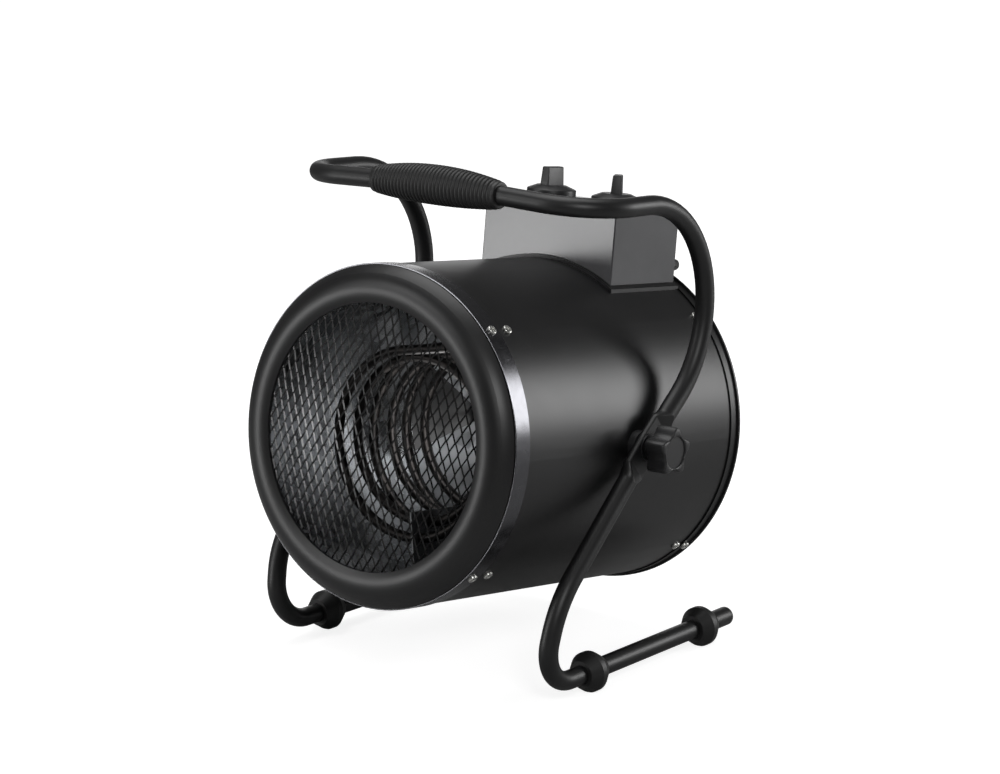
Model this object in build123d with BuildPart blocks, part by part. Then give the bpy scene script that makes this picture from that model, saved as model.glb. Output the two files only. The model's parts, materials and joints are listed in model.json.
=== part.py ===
from build123d import *
import os
from math import acos, atan2, cos, degrees, hypot, pi, radians, sin, sqrt

os.makedirs("parts", exist_ok=True)

# Forced air heater on a bent tube stand, in millimetres.
# The heater is drawn in its own frame: the drum's axis lies along Y, y = 0 is the front
# edge of the casing band and -Y is the outlet. It is then tilted about its pivot.

# ---------------------------------------------------------------- driving sizes
clear = 0.05            # radial clearance of pins, screws and shafts in their holes
seat = 0.2              # gap between pieces that lie against each other

past = 2.0              # cutters start and end this far outside what they cut

casing_r = 139.2        # drum casing, outside radius
casing_wall = 0.9
casing_front = 3.6
casing_short = 1.3      # casing ends inside the rear ring
shell_gap = 0.2         # rings over the casing, and the spigot inside it

band_wall = 0.8         # polished band round the casing's front edge
band_end = 21.4
band_edge = 0.3

ring_wall = 1.0         # front ring, spun from sheet
crease_y = 2.9          # where its roll meets the band
crease_drop = 0.4       # below the casing's outside there
shoulder_r = 32.0       # outer roll
shoulder_from = 30.0    # its arc, as the angle between outward and frontward
shoulder_to = 48.0
nose_r = 20.6           # tighter inner roll, from there to the lip
nose_to = 119.0
lip_return = 3.2        # lip turned back into the drum
spigot_start = 3.3      # straight spigot inside the casing
spigot_end = 20.0

rear_end = 311.8        # rear ring, rear edge
rear_band = 10.5        # length of its band
rear_bead = 1.9         # its rim stands out by this much
rear_slope = 2.1        # length of the rim, with its rise
rear_flange = 11.0      # its inward flange

mesh_gap = 0.2          # grille behind the lip
mesh_thick = 1.0
mesh_lap = 9.3          # grille blank reaches past the lip
mesh_margin = 1.3       # opened diamonds stop short of the lip
cell_w = 13.6           # diamond cell, across
cell_h = 26.6           # diamond cell, along
strand = 1.7            # strand between two cells
mesh_turn = -5.3        # the sheet lies a little askew

clip_w = 12.0
clip_wall = 1.0
clip_bend = 3.5         # clip leaves the spigot here
clip_drop = 5.7         # and is this much lower at the grille
clip_hook = 24.0        # clip's tongue behind the grille

screw_turn = 45.0       # screws sit at 45 degrees to the axes of the drum
screw_r = 2.0
head_r = 4.0
head_h = 2.4
head_rim = 1.0          # height of the head's straight rim
head_top_r = 2.5
tail = 7.0              # length of a screw below its head
front_screw_y = 12.5
liner_screw_y = 33.2
bracket_screw_back = 25.4   # behind the motor
rear_screw_in = 6.2         # from the drum's rear end

liner_room = 15.2       # space between the bright inner liner and the casing
liner_wall = 0.7
liner_front = 8.0
liner_rear = 210.0
post_r = 5.0            # posts between liner and casing

tube_r = 4.2            # heating tube
turn_r_front = 77.0     # first turn of an element
turn_r_rear = 65.0      # last turn of an element
half_turn_climb = 7.0   # depth gained by each half turn
element_first_y = 43.0
element_pitch = 44.0
element_count = 3
element_drop = 9.0      # elements hang this far below the drum's axis
element_start = 100.0   # angle at which the first turn starts, from +X
leg_past = 7.0          # cold ends reach this far past the liner
bush_r = 7.0
bush_len = 6.0
rib_thick = 1.5         # notched rib that carries the turns
rib_margin = 6.0

fan_gap = 7.0           # blade tips to the liner's outside
fan_hub_r = 23.0
hub_round = 5.0
blade_sunk = 3.0        # blade roots start inside the hub
fan_front = 176.0
fan_rear = 200.0
blade_count = 5
blade_thick = 2.0
blade_root = 40.0       # chord at the hub
blade_tip = 62.0        # chord at the tip
blade_root_pitch = 32.0
blade_tip_pitch = 20.0
shaft_r = 4.0
shaft_nose = 4.0        # shaft in front of the hub
shaft_in = 20.0         # shaft inside the motor
motor_r = 41.0
motor_round = 4.0
motor_front = 206.0
motor_rear = 268.0
motor_cap_r = 22.0
motor_cap_len = 4.0
arm_w = 24.0            # motor bracket
arm_wall = 2.0
arm_foot = 34.0

grille_thick = 1.0      # rear grille, with three rows of slots
slot_rim = 14.1
slot_len = 28.0
slot_bridge = 6.0       # metal left between two rows
slot_inner_count = 12
slot_middle_count = 20
slot_outer_count = 28
slot_land = 4.6         # metal left between two slots

box_w = 137.8           # control box
box_len = 91.5
box_behind = 0.8        # box ends before the rear ring
box_lift = 47.3         # its top above the casing
box_wall = 1.2
box_round = 1.1
box_edge = 0.9
saddle_lift = 3.0       # the saddle under the box
saddle_out = 4.5        # its flange past the box
saddle_in = 9.0
saddle_round = 4.0
wire_w = 70.0           # opening for the wires
wire_len = 40.0
wire_round = 4.0

knob_r = 21.2           # rotary knobs on the box
knob_lift = 0.3
knob_rim = 7.0
knob_edge = 1.2
knob_cone = 3.5
knob_cone_r = 12.5
bar_len = 22.5
bar_w = 8.9
bar_h = 15.6
bar_draft = 3.0
selector_turn = 90.0    # bar of the selector, seen from above
thermostat_turn = 122.0
spindle_r = 3.0
spindle_into = 9.0      # depth of its holes in knob and switch
spindle_play = 1.0      # free at each end
switch_w = 42.0
switch_d = 42.0
switch_h = 29.0
switch_edge = 3.0
sensor_w = 34.0
sensor_d = 30.0
sensor_h = 22.0

gland_in = 9.4          # gland's centre, inside the box's side
gland_up = 0.4          # and its nut's clearance over the saddle
gland_r = 7.6
gland_hex = 5.0
gland_dome = 8.0
gland_dome_r = 6.4
gland_draft = 12.0
gland_bore = 3.4
gland_thread = 5.4
gland_tail = 6.0
gland_nut_len = 4.0

block_w = 60.0          # terminal block
block_d = 18.0
block_h = 14.0
block_screw = 2.0
block_screw_deep = 3.0
block_screw_count = 5
block_back = 2.0        # behind the saddle's front edge

cutout_r = 8.0          # thermal cut-out on the liner
cutout_h = 9.0
cutout_y = 186.0
cutout_turn = 62.0

# stand, measured from the middle of the foot tubes and from the pivot
tilt = -7.1875          # rest pose: the outlet points this many degrees up
pivot_y = 166.3         # pivot in the heater's frame
pivot_z = 3.0
stand_r = 8.0
collar_r = 17.0
collar_flat = 0.5
side_room = 9.3         # middle of the sloping tube beside the casing
foot_in_rear = 9.5      # foot tube inside the sloping tube, at its rear and front end
foot_in_front = 6.5
handle_out = 7.0        # handle's corner outside the sloping tube
pivot_room = 37.05      # pivot above the foot tubes, past the casing's radius
foot_rear = 129.0       # rear end of the foot tube behind the pivot
foot_front = -133.4
knee_y = -117.4
knee_rise = 71.0
elbow_y = 233.5
elbow_rise = 183.7      # elbow above the pivot
handle_y = -85.0
handle_room = 21.0      # handle's corner above the box
handle_arch = 5.4       # the bar's middle is bent up by about this
foot_bend = 33.0
knee_bend = 80.0
pivot_bend = 100.0
elbow_bend = 94.0
handle_bend = 50.0
arch_bend = 1200.0
flat_half = 23.0        # flattened length each side of the pivot
flat_blend = 12.0
flat_thick = 6.0
flat_w = 26.0
flat_end_w = 6.2        # half width where it fades into the round tube
flat_round = 2.4

grip_half = 64.7
grip_end_r = 10.8
grip_mid_r = 15.3
grip_cuff = 6.0
rib_count = 9
rib_rise = 1.2
rib_foot = 0.38         # a rib's foot, flank and top, as shares of the pitch
rib_near = 0.5
rib_far = 0.88

collar_len = 24.0
collar_end_r = 11.5
collar_band = 5.0
collar_front_y = -65.8
collar_rear_y = 93.0
cap_len = 5.2
cap_round = 3.6
plug_r = 6.4
plug_len = 10.0

stud_r = 4.0
spacer_r = 13.0
washer_r = 12.0
washer_thick = 1.2
nut_r = 11.0
nut_len = 9.0
nut_room = 1.0          # nut's edge clears the casing's curve
star_r = 20.5           # star knob
star_lobe_r = 6.2
star_core_r = 14.6
star_lobe_count = 5
star_first = 18.0       # angle of the first lobe
star_neck_r = 10.5
star_neck = 7.0
star_height = 25.8
star_cap_r = 13.0
star_cap_sink = 1.2
star_cap_thick = 2.0
star_top = 6.0          # solid length above the stud

# ---------------------------------------------------------------- helpers
pieces = {}


def finish(solids, name):
    """Keep the solids of a piece, or of a group of alike pieces, for placing and writing."""
    pieces[name] = list(solids)


def cross(y):
    """Plane across the drum at depth y: local x is X, local y is Z, extrusion goes to -Y."""
    return Plane.XZ.offset(-y)


def radial(angle, y, r):
    """Plane at radius r that faces outward from the drum's axis at this angle."""
    a = radians(angle)
    out = (cos(a), 0, sin(a))
    return Plane(origin=(r * cos(a), y, r * sin(a)), x_dir=(0, 1, 0), z_dir=out)


def roll_point(centre, r, angle):
    """Point (y, r) of a rolled profile, by the angle between outward and frontward."""
    return centre[0] - r * sin(radians(angle)), centre[1] + r * cos(radians(angle))


def roll(centre, r, start, end):
    """Arc of a rolled profile between two such angles."""
    return CenterArc(centre, r, degrees(pi / 2) + start, end - start)


casing_inner = casing_r - casing_wall
sleeve_inner = casing_r + shell_gap
band_outer = sleeve_inner + band_wall
rear_outer = sleeve_inner + ring_wall
spigot_outer = casing_inner - shell_gap
spigot_inner = spigot_outer - ring_wall
crease = (crease_y, casing_r - crease_drop)
shoulder = roll_point(crease, -shoulder_r, shoulder_from)
nose = roll_point(shoulder, shoulder_r - nose_r, shoulder_to)
lip_y, lip_r = roll_point(nose, nose_r, nose_to)
lip_inner = degrees(acos((lip_r + ring_wall - nose[1]) / (nose_r - ring_wall)))
spigot_meet = degrees(acos((spigot_inner - shoulder[1]) / (shoulder_r - ring_wall)))
screw_angles = [screw_turn + 90 * i for i in range(4)]
hole_r = screw_r + clear
liner_r = casing_r - liner_room
fan_r = liner_r - fan_gap
box_top = casing_r + box_lift
casing_rear = rear_end - casing_short
rear_front = rear_end - rear_band
rear_screw_y = rear_end - rear_screw_in
bracket_screw_y = motor_rear + bracket_screw_back
box_rear = rear_front - box_behind
box_front = box_rear - box_len
box_mid = (box_front + box_rear) / 2
pivot_rise = casing_r + pivot_room

# ---------------------------------------------------------------- drum
def screw_holes(y, r, wall):
    """Cut the four screw holes at depth y through a wall whose outside has radius r."""
    for angle in screw_angles:
        with BuildSketch(radial(angle, y, r + past)) as hole:
            Circle(hole_r)
        extrude(hole.sketch, amount=-wall - 2 * past, mode=Mode.SUBTRACT)


with BuildPart() as front_ring:
    with BuildSketch(Plane.YZ):
        with BuildLine():
            lip = roll_point(nose, nose_r, nose_to)
            bead = roll_point(nose, nose_r - ring_wall, lip_inner)
            meet = roll_point(shoulder, shoulder_r - ring_wall, spigot_meet)
            Polyline(
                bead,
                (lip_y + lip_return, lip_r + ring_wall),
                (lip_y + lip_return, lip_r),
                lip,
            )
            roll(nose, nose_r, nose_to, shoulder_to)
            roll(shoulder, shoulder_r, shoulder_to, shoulder_from)
            Polyline(
                crease,
                (spigot_start, spigot_outer),
                (spigot_end, spigot_outer),
                (spigot_end, spigot_inner),
                meet,
            )
            roll(shoulder, shoulder_r - ring_wall, spigot_meet, shoulder_to)
            roll(nose, nose_r - ring_wall, shoulder_to, lip_inner)
        make_face()
    revolve(axis=Axis.Y)
    screw_holes(front_screw_y, spigot_outer, ring_wall)
finish([front_ring.part], "front_ring")

with BuildPart() as front_band:
    with BuildSketch(cross(casing_front)):
        Circle(band_outer)
        Circle(sleeve_inner, mode=Mode.SUBTRACT)
    extrude(amount=casing_front - band_end)
    chamfer(front_band.edges().sort_by(lambda edge: edge.length)[-2:], band_edge)
    screw_holes(front_screw_y, band_outer, band_wall)
finish([front_band.part], "front_band")

with BuildPart() as casing:
    with BuildSketch(cross(casing_front)):
        Circle(casing_r)
        Circle(casing_inner, mode=Mode.SUBTRACT)
    extrude(amount=casing_front - casing_rear)
    for y in (front_screw_y, liner_screw_y, bracket_screw_y, rear_screw_y):
        screw_holes(y, casing_r, casing_wall)
    for side in (0, 180):
        with BuildSketch(Plane((0, pivot_y, pivot_z), x_dir=(0, 1, 0), z_dir=(cos(radians(side)), 0, 0))):
            Circle(stud_r + 4 * clear)
        extrude(amount=casing_r + past, mode=Mode.SUBTRACT)
    with BuildSketch(Plane.XY.offset(casing_r + past)):
        with Locations((0, box_mid)):
            RectangleRounded(wire_w, wire_len, wire_round)
    extrude(amount=-casing_r, mode=Mode.SUBTRACT)
finish([casing.part], "casing")

rim_r = rear_outer + rear_bead
with BuildPart() as rear_ring:
    with BuildSketch(Plane.YZ):
        with BuildLine():
            Polyline(
                (rear_front, sleeve_inner),
                (rear_end - ring_wall, sleeve_inner),
                (rear_end - ring_wall, sleeve_inner - rear_flange),
                (rear_end, sleeve_inner - rear_flange),
                (rear_end, rim_r),
                (rear_end - rear_bead, rim_r),
                (rear_end - rear_slope, rear_outer),
                (rear_front, rear_outer),
                close=True,
            )
        make_face()
    revolve(axis=Axis.Y)
    screw_holes(rear_screw_y, rear_outer, ring_wall)
finish([rear_ring.part], "rear_ring")


# ---------------------------------------------------------------- grilles
mesh_y = lip_y + lip_return + mesh_gap
mesh_rim_r = lip_r + mesh_lap
mesh_open_r = lip_r - mesh_margin


def diamond_centres():
    """Centres of the staggered cells whose area reaches into the opening."""
    across = int(mesh_open_r / cell_w * 2) + 2
    along = int(mesh_open_r / cell_h * 2) + 2
    turn = radians(mesh_turn)
    centres = []
    for i in range(-across, across + 1):
        for j in range(-along, along + 1):
            x = i * cell_w / 2
            z = j * cell_h / 2
            if (i + j) % 2 == 0 and hypot(x, z) < mesh_open_r:
                centres.append((x * cos(turn) - z * sin(turn), x * sin(turn) + z * cos(turn)))
    return centres


opening_w = cell_w - strand * hypot(cell_w, cell_h) / cell_h
opening_h = cell_h - strand * hypot(cell_w, cell_h) / cell_w
with BuildSketch() as cells:
    with Locations(*diamond_centres()):
        Polygon(
            (opening_w / 2, 0),
            (0, opening_h / 2),
            (-opening_w / 2, 0),
            (0, -opening_h / 2),
            rotation=mesh_turn,
        )
    Circle(mesh_open_r, mode=Mode.INTERSECT)

with BuildPart() as front_grille:
    with BuildSketch(cross(mesh_y)):
        Circle(mesh_rim_r)
        add(cells.sketch, mode=Mode.SUBTRACT)
    extrude(amount=-mesh_thick)
print("grille gaps", len(cells.faces()))
finish([front_grille.part], "front_grille")

clip_r = spigot_inner - seat - clip_w ** 2 / 8 / spigot_inner
clip_front = mesh_y + mesh_thick + mesh_gap
with BuildPart() as clip:
    with BuildSketch(Plane.YZ):
        with BuildLine():
            Polyline(
                (clip_front, clip_r - clip_hook),
                (clip_front, clip_r - clip_drop),
                (clip_bend, clip_r),
                (spigot_end, clip_r),
                (spigot_end, clip_r - clip_wall),
                (clip_bend, clip_r - clip_wall),
                (clip_front + clip_wall, clip_r - clip_drop),
                (clip_front + clip_wall, clip_r - clip_hook),
                close=True,
            )
        make_face()
    extrude(amount=clip_w / 2, both=True)
    with BuildSketch(Plane.XY.offset(clip_r + past)):
        with Locations((0, front_screw_y)):
            Circle(hole_r)
    extrude(amount=-clip_wall - 2 * past, mode=Mode.SUBTRACT)
finish([clip.part.rotate(Axis.Y, a) for a in screw_angles], "grille_clips")

with BuildPart() as rear_grille:
    with BuildSketch(cross(rear_end - ring_wall - seat - grille_thick)):
        Circle(casing_inner - seat)
        for row, count in enumerate((slot_outer_count, slot_middle_count, slot_inner_count)):
            outer_r = casing_inner - seat - slot_rim - row * (slot_len + slot_bridge)
            inner_r = outer_r - slot_len
            half_in = pi * inner_r / count - slot_land / 2
            half_out = pi * outer_r / count - slot_land / 2
            with PolarLocations(0, count):
                Polygon(
                    (inner_r, -half_in),
                    (outer_r, -half_out),
                    (outer_r, half_out),
                    (inner_r, half_in),
                    align=None,
                    mode=Mode.SUBTRACT,
                )
    extrude(amount=-grille_thick)
finish([rear_grille.part], "rear_grille")

# ---------------------------------------------------------------- screws
with BuildPart() as screw:
    with BuildSketch(Plane.XZ):
        with BuildLine():
            Polyline(
                (0, -tail),
                (screw_r, -tail),
                (screw_r, 0),
                (head_r, 0),
                (head_r, head_rim),
                (head_top_r, head_h),
                (0, head_h),
                close=True,
            )
        make_face()
    revolve(axis=Axis.Z)


def screw_group(rows, name):
    """Screws with their heads on the given radii, at each depth and each of the four angles."""
    made = []
    for y, r in rows:
        for angle in screw_angles:
            made.append(screw.part.moved(radial(angle, y, r).location))
    finish(made, name)


screw_group(((front_screw_y, band_outer), (liner_screw_y, casing_r)), "front_screws")
screw_group(((bracket_screw_y, casing_r), (rear_screw_y, rear_outer)), "rear_screws")

# ---------------------------------------------------------------- heating section
def element_point(step):
    """Where the tube crosses the rib's plane after this many half turns (depth from its front)."""
    r = turn_r_front + (turn_r_rear - turn_r_front) * max(step - 1, 0) / 2
    a = radians(element_start + 180 * step)
    return Vector(r * cos(a), half_turn_climb * step, r * sin(a) - element_drop)


tangent = radians(element_start - 90)
lead_dir = Vector(cos(tangent), 0, sin(tangent))


def reach(start, way, r):
    """Length along a direction from a point inside the drum to this radius."""
    b = start.X * way.X + start.Z * way.Z
    c = start.X ** 2 + start.Z ** 2 - r ** 2
    return -b + sqrt(b * b - c)


def inset(start, way, r):
    """Length along a direction from a point outside the drum's liner to this radius."""
    b = start.X * way.X + start.Z * way.Z
    c = start.X ** 2 + start.Z ** 2 - r ** 2
    return -b - sqrt(b * b - c)


def element_path(y):
    """Lead in, three half turns, a quarter turn and the lead out, as a list of edges."""
    shift = Vector(0, y, 0)
    p = [element_point(i) + shift for i in range(4)]
    edges = [Edge.make_line(p[0] + lead_dir * reach(p[0], lead_dir, liner_r + leg_past), p[0])]
    for i in range(3):
        side = lead_dir * (-1) ** (i + 1)
        mid = (p[i] + p[i + 1]) / 2 + side * ((p[i + 1] - p[i]).length / 2)
        edges.append(Edge.make_three_point_arc(p[i], mid, p[i + 1]))
    last = Vector(p[3].X, 0, p[3].Z + element_drop)
    quarter = lead_dir * turn_r_rear
    centre = p[3] - last
    diag = (last + quarter).normalized() * turn_r_rear
    edges.append(Edge.make_three_point_arc(p[3], centre + diag, centre + quarter))
    out_dir = last * (-1 / last.length)
    end = centre + quarter
    edges.append(Edge.make_line(end, end + out_dir * reach(end, out_dir, liner_r + leg_past)))
    return edges


def least_gap(edges, count=60):
    """Smallest free distance between stretches of the tube that aren't neighbours."""
    points = []
    run = 0
    for edge in edges:
        for i in range(count):
            points.append((run + edge.length * i / count, edge @ (i / count)))
        run += edge.length
    far = 6 * tube_r
    gaps = [(a[1] - b[1]).length for a in points for b in points if b[0] - a[0] > far]
    return min(gaps) - 2 * tube_r


legs = []
for number in range(element_count):
    route = element_path(element_first_y + number * element_pitch)
    with BuildPart() as element:
        with BuildLine() as line:
            for edge in route:
                add(edge)
        with BuildSketch(Plane(origin=route[0] @ 0, z_dir=route[0] % 0)):
            Circle(tube_r)
        sweep()
    finish([element.part], f"heating_element_{number + 1}")
    legs.append((route[0] @ 0, route[0] % 0))
    legs.append((route[-1] @ 1, (route[-1] % 1) * -1))
tube_length = sum(edge.length for edge in route)
print("element volume ratio", element.part.volume / (pi * tube_r ** 2 * tube_length))
print("element least gap to itself", round(least_gap(route), 2))

leg_planes = [Plane(origin=start, z_dir=way) for start, way in legs]

with BuildPart() as inner_liner:
    flare = liner_rear - (casing_inner - seat - liner_r)
    with BuildSketch(Plane.YZ):
        with BuildLine():
            Polyline(
                (liner_front, liner_r),
                (flare, liner_r),
                (liner_rear, casing_inner - seat),
                (liner_rear + liner_wall, casing_inner - seat),
                (liner_rear + liner_wall, casing_inner - seat - liner_wall),
                (flare + liner_wall, liner_r - liner_wall),
                (liner_front, liner_r - liner_wall),
                close=True,
            )
        make_face()
    revolve(axis=Axis.Y)
    for plane in leg_planes:
        with BuildSketch(plane):
            Circle(tube_r + clear)
        extrude(amount=bush_len + 3 * leg_past, mode=Mode.SUBTRACT)
finish([inner_liner.part], "inner_liner")

bushes = []
for plane in leg_planes:
    lean = (plane.origin.X * plane.z_dir.X + plane.origin.Z * plane.z_dir.Z) / (liner_r + leg_past)
    bush_at = liner_r - liner_wall - 2 * seat - bush_r * sqrt(1 - lean ** 2)
    inward = inset(plane.origin, plane.z_dir, bush_at)
    with BuildPart() as bush:
        with BuildSketch(plane.offset(inward)):
            Circle(bush_r)
            Circle(tube_r + clear, mode=Mode.SUBTRACT)
        extrude(amount=bush_len)
    bushes.append(bush.part)
finish(bushes, "element_bushes")

with BuildPart() as post:
    with BuildSketch(Plane.XY.offset(liner_r + seat)):
        Circle(post_r)
        Circle(hole_r, mode=Mode.SUBTRACT)
    extrude(amount=casing_inner - liner_r - 2 * seat)
posts = [post.part.moved(radial(angle, liner_screw_y, 0).location) for angle in screw_angles]
finish(posts, "liner_posts")

rib_way = radians(element_start + 180)
rib_plane = Plane(origin=(0, 0, -element_drop), x_dir=(0, 1, 0), z_dir=lead_dir)
with BuildPart() as element_rib:
    crossings = []
    for number in range(element_count):
        for step in (1, 3):
            point = element_point(step) + Vector(0, element_first_y + number * element_pitch, 0)
            crossings.append(rib_plane.to_local_coords(point))
    side = 1 if crossings[0].Y > 0 else -1
    rib_top_v = turn_r_rear - tube_r - rib_margin
    foot = sqrt((liner_r - liner_wall - seat) ** 2 - (element_drop * cos(rib_way)) ** 2)
    foot -= element_drop * -sin(rib_way)
    rib_first = crossings[0].X - tube_r - rib_margin
    rib_last = crossings[-1].X + tube_r + rib_margin
    with BuildSketch(rib_plane):
        with Locations(((rib_first + rib_last) / 2, side * (rib_top_v + foot) / 2)):
            Rectangle(rib_last - rib_first, foot - rib_top_v)
        with Locations(*[(c.X, c.Y) for c in crossings]):
            Circle(tube_r + clear, mode=Mode.SUBTRACT)
    extrude(amount=rib_thick / 2, both=True)
finish([element_rib.part], "element_rib")

with BuildPart() as thermal_cutout:
    with BuildSketch(radial(cutout_turn, cutout_y, liner_r + seat)):
        Circle(cutout_r)
    extrude(amount=cutout_h)
finish([thermal_cutout.part], "thermal_cutout")

# ---------------------------------------------------------------- fan and motor
def blade_section(r, chord, pitch):
    """Plane on a blade at radius r, turned by its pitch, and the chord of its section."""
    plane = Plane(origin=(r, (fan_front + fan_rear) / 2, 0), x_dir=(0, 0, 1), z_dir=(1, 0, 0))
    return plane.rotated((0, 0, pitch)), chord


with BuildPart() as blade:
    for plane, chord in (
        blade_section(fan_hub_r - blade_sunk, blade_root, blade_root_pitch),
        blade_section(fan_r, blade_tip, blade_tip_pitch),
    ):
        with BuildSketch(plane):
            Rectangle(chord, blade_thick)
    loft()

with BuildPart() as fan:
    with BuildSketch(Plane.YZ):
        with BuildLine():
            Polyline(
                (fan_front, shaft_r + clear),
                (fan_front, fan_hub_r - hub_round),
                (fan_front + hub_round, fan_hub_r),
                (fan_rear, fan_hub_r),
                (fan_rear, shaft_r + clear),
                close=True,
            )
        make_face()
    revolve(axis=Axis.Y)
    blades = [blade.part.rotate(Axis.Y, 360 / blade_count * i) for i in range(blade_count)]
    add(blades)
    with BuildSketch(cross(fan_front - blade_root)):
        Circle(shaft_r + clear)
    extrude(amount=fan_front - fan_rear - 2 * blade_root, mode=Mode.SUBTRACT)
finish([fan.part], "fan")

with BuildPart() as motor_shaft:
    with BuildSketch(cross(fan_front - shaft_nose)):
        Circle(shaft_r)
    extrude(amount=fan_front - shaft_nose - motor_front - shaft_in)
finish([motor_shaft.part], "motor_shaft")

with BuildPart() as motor:
    with BuildSketch(Plane.YZ):
        with BuildLine():
            Polyline(
                (motor_front, 0),
                (motor_front, motor_cap_r),
                (motor_front + motor_cap_len, motor_cap_r),
                (motor_front + motor_cap_len, motor_r - motor_round),
                (motor_front + motor_cap_len + motor_round, motor_r),
                (motor_rear, motor_r),
                (motor_rear, 0),
                close=True,
            )
        make_face()
    revolve(axis=Axis.Y)
    with BuildSketch(cross(motor_front - past)):
        Circle(shaft_r + clear)
    extrude(amount=-past - shaft_in - seat, mode=Mode.SUBTRACT)
finish([motor.part], "motor")

with BuildPart() as motor_bracket:
    arm_y = motor_rear + seat
    foot_r = casing_inner - seat - arm_w ** 2 / 8 / casing_inner
    with BuildSketch(cross(arm_y)):
        for angle in screw_angles:
            with Locations((foot_r / 2 * cos(radians(angle)), foot_r / 2 * sin(radians(angle)))):
                Rectangle(foot_r, arm_w, rotation=angle)
        Circle(motor_r)
    extrude(amount=-arm_wall)
    for angle in screw_angles:
        with BuildSketch(radial(angle, arm_y + arm_foot / 2, foot_r)):
            Rectangle(arm_foot, arm_w)
            with Locations((bracket_screw_y - arm_y - arm_foot / 2, 0)):
                Circle(hole_r, mode=Mode.SUBTRACT)
        extrude(amount=-arm_wall)
finish([motor_bracket.part], "motor_bracket")

# ---------------------------------------------------------------- control box
saddle_r = casing_r + saddle_lift
gland_x = box_w / 2 - gland_in
gland_z = sqrt(saddle_r ** 2 - (gland_x - gland_r / 2) ** 2) + gland_r * cos(pi / 6) + gland_up
knob_x = box_w / 4
with BuildPart() as control_box:
    with BuildSketch(Plane.XY.offset(box_top)):
        with Locations((0, box_mid)):
            RectangleRounded(box_w, box_len, box_round)
    extrude(amount=-box_top)
    fillet(control_box.faces().sort_by(Axis.Z)[-1].edges(), box_edge)
    with BuildSketch(Plane.XY.offset(box_top - box_wall)):
        with Locations((0, box_mid)):
            Rectangle(box_w - 2 * box_wall, box_len - 2 * box_wall)
    extrude(amount=-box_top, mode=Mode.SUBTRACT)
    with BuildSketch(cross(box_front - past)):
        Circle(saddle_r)
        with Locations((0, -saddle_r / 2)):
            Rectangle(2 * saddle_r, saddle_r)
    extrude(amount=-box_len - 2 * past, mode=Mode.SUBTRACT)
    with BuildSketch(Plane.XY.offset(box_top + past)):
        with Locations((-knob_x, box_mid), (knob_x, box_mid)):
            Circle(spindle_r + clear)
    extrude(amount=-box_wall - 2 * past, mode=Mode.SUBTRACT)
    with BuildSketch(cross(box_rear + past)):
        with Locations((gland_x, gland_z)):
            Circle(gland_thread + clear)
    extrude(amount=box_wall + 2 * past, mode=Mode.SUBTRACT)
finish([control_box.part], "control_box")

with BuildPart() as box_saddle:
    saddle_end = rear_front - seat
    with BuildSketch(cross(box_front - saddle_out)):
        Circle(saddle_r - seat / 2)
        Circle(casing_r + seat / 2, mode=Mode.SUBTRACT)
    extrude(amount=box_front - saddle_out - saddle_end)
    with BuildSketch(Plane.XY):
        with Locations((0, (box_front - saddle_out + saddle_end) / 2)):
            Rectangle(box_w + 2 * saddle_out, saddle_end - box_front + saddle_out)
        with Locations((0, box_mid)):
            RectangleRounded(
                box_w - 2 * saddle_in, box_len - 2 * saddle_in, saddle_round, mode=Mode.SUBTRACT
            )
    extrude(amount=2 * casing_r, mode=Mode.INTERSECT)
finish([box_saddle.part], "box_saddle")

knob_base = box_top + knob_lift


def rotary_knob(x, turn, name):
    """Round knob with a rim, a low cone and a tapered pointer bar."""
    with BuildPart() as knob:
        with BuildSketch(Plane.XZ):
            with BuildLine():
                Polyline(
                    (0, knob_base),
                    (knob_r, knob_base),
                    (knob_r, knob_base + knob_rim - knob_edge),
                    (knob_r - knob_edge, knob_base + knob_rim),
                    (knob_cone_r, knob_base + knob_rim + knob_cone),
                    (0, knob_base + knob_rim + knob_cone),
                    close=True,
                )
            make_face()
        revolve(axis=Axis.Z)
        with BuildSketch(Plane.XY.offset(knob_base + knob_rim + knob_cone)):
            Rectangle(bar_len, bar_w, rotation=turn)
        extrude(amount=bar_h, taper=bar_draft)
        with BuildSketch(Plane.XY.offset(knob_base - past)):
            Circle(spindle_r + clear)
        extrude(amount=spindle_into + past, mode=Mode.SUBTRACT)
    finish([knob.part.moved(Location((x, box_mid, 0)))], name)


rotary_knob(-knob_x, selector_turn, "selector_knob")
rotary_knob(knob_x, thermostat_turn, "thermostat_knob")


def control(x, width, depth, height, name, spindle_name):
    """A switch body under the box top, with a bush for its spindle, and the spindle itself."""
    top = box_top - box_wall - seat
    with BuildPart() as body:
        with BuildSketch(Plane.XY.offset(top)):
            Rectangle(width, depth)
        extrude(amount=-height)
        chamfer(body.edges().filter_by(Axis.Z), switch_edge)
        with BuildSketch(Plane.XY.offset(top + past)):
            Circle(spindle_r + clear)
        extrude(amount=-spindle_into - past, mode=Mode.SUBTRACT)
    finish([body.part.moved(Location((x, box_mid, 0)))], name)
    with BuildPart() as spindle:
        with BuildSketch(Plane.XY.offset(top - spindle_into + spindle_play)):
            Circle(spindle_r)
        extrude(amount=knob_base - top + 2 * (spindle_into - spindle_play))
    finish([spindle.part.moved(Location((x, box_mid, 0)))], spindle_name)


control(-knob_x, switch_w, switch_d, switch_h, "selector_switch", "selector_spindle")
control(knob_x, sensor_w, sensor_d, sensor_h, "thermostat", "thermostat_spindle")

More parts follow.
